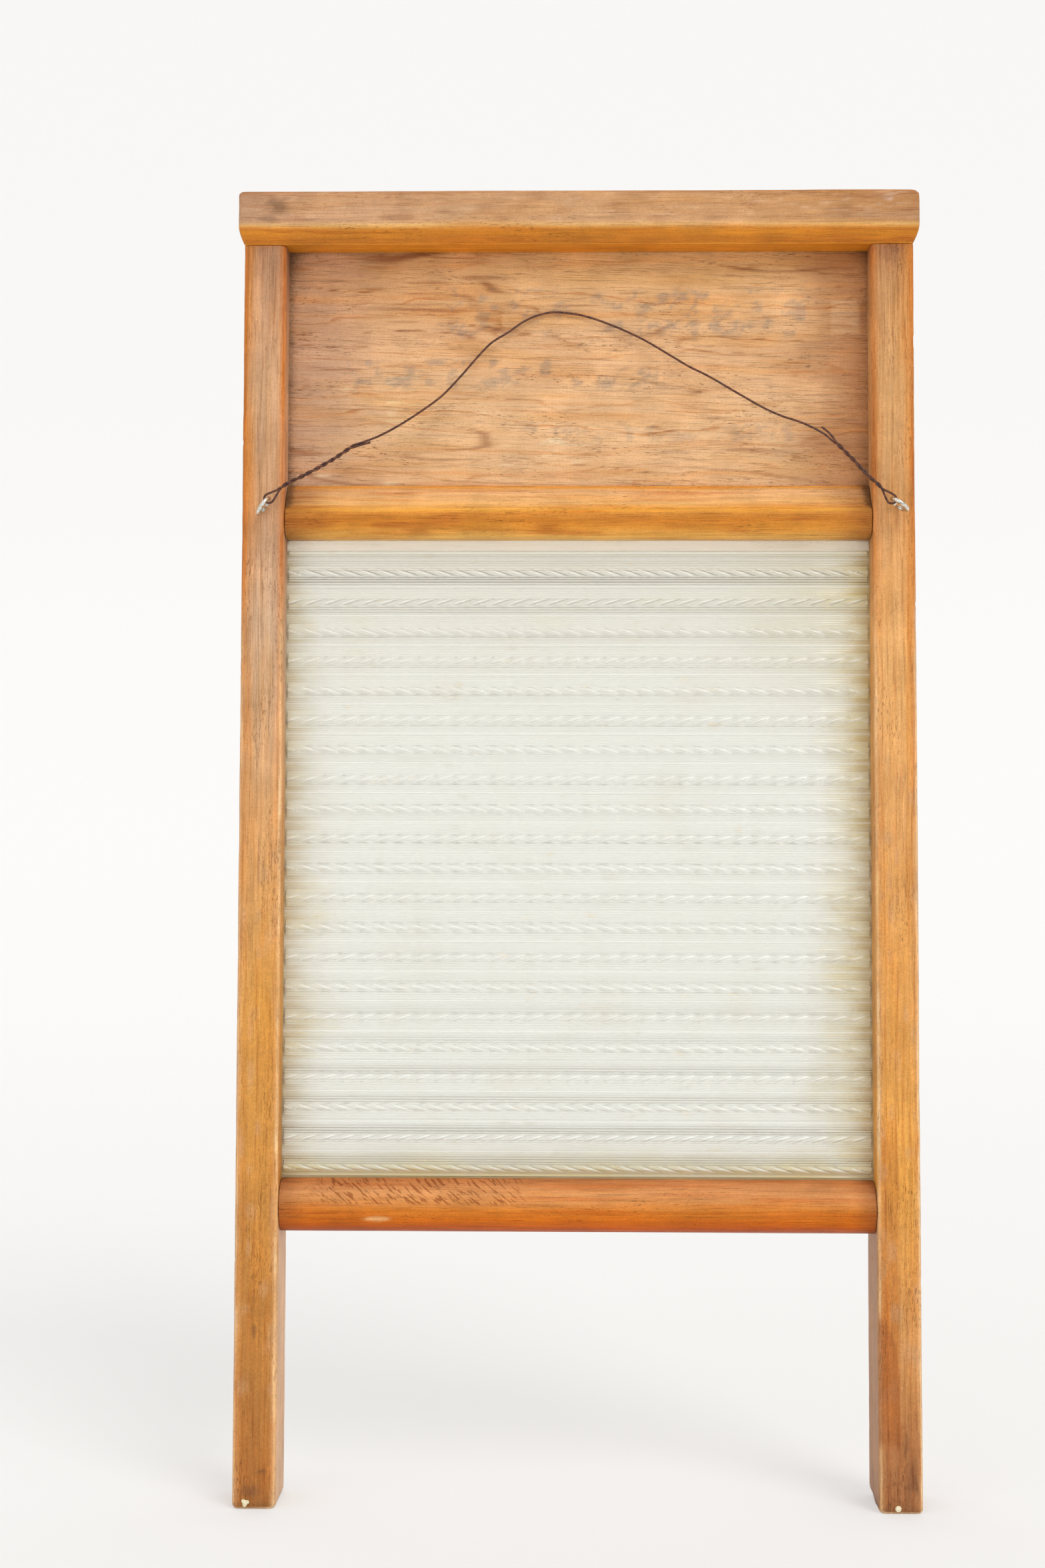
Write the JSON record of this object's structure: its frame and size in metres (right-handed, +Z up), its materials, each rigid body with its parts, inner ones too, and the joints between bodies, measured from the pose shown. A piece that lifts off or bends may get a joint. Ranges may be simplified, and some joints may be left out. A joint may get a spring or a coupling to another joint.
{
  "type": "washboard",
  "caption": "Antique wooden washboard with a ribbed glass washing panel, a plain top panel and a hanging wire between screw eyes.",
  "frame": {"origin": "on the floor between the two feet, in the middle of the wooden frame's width and thickness", "axes": "+Z up the board from feet to top rail, -Y out of the front where the wire and screw eyes are, +X to the right seen from the front"},
  "size_m": [0.3186, 0.0452, 0.609],
  "materials": {
    "stile_wood": "worn oiled pine, upright grain, darker at the feet",
    "top_rail_wood": "worn greyed pine with an orange moulded edge",
    "panel_wood": "dry worn pine, grain across",
    "rail_wood": "worn orange varnish, satin",
    "ribbed_glass": "pressed ribbed glass, slightly green, stained at its edges",
    "nail_steel": "dull oxidised steel",
    "zinc": "bright zinc plate",
    "wire_iron": "rusty brown annealed iron",
    "tack_enamel": "cream enamel, chipped"
  },
  "bodies": {
    "board": {"left_stile": "stile_wood", "right_stile": "stile_wood", "top_rail": "top_rail_wood", "top_panel": "panel_wood", "middle_rail": "rail_wood", "bottom_rail": "rail_wood", "glass_panel": "ribbed_glass", "top_rail_nail_1": "nail_steel", "middle_rail_nail_1": "nail_steel", "bottom_rail_nail_1": "nail_steel", "top_rail_nail_2": "nail_steel", "middle_rail_nail_2": "nail_steel", "bottom_rail_nail_2": "nail_steel", "top_rail_nail_3": "nail_steel", "middle_rail_nail_3": "nail_steel", "bottom_rail_nail_3": "nail_steel", "top_rail_nail_4": "nail_steel", "middle_rail_nail_4": "nail_steel", "bottom_rail_nail_4": "nail_steel", "left_foot_tack": "tack_enamel", "right_foot_tack": "tack_enamel", "left_screw_eye": "zinc", "right_screw_eye": "zinc"},
    "hanging_wire": {"hanging_wire": "wire_iron"}
  },
  "joints": [
    {"name": "wire_swing", "type": "hinge", "parent": "board", "child": "hanging_wire", "pos_m": [0, -0.02165, 0.46075], "axis": [1, 0, 0], "range_deg": [0, 55]}
  ]
}
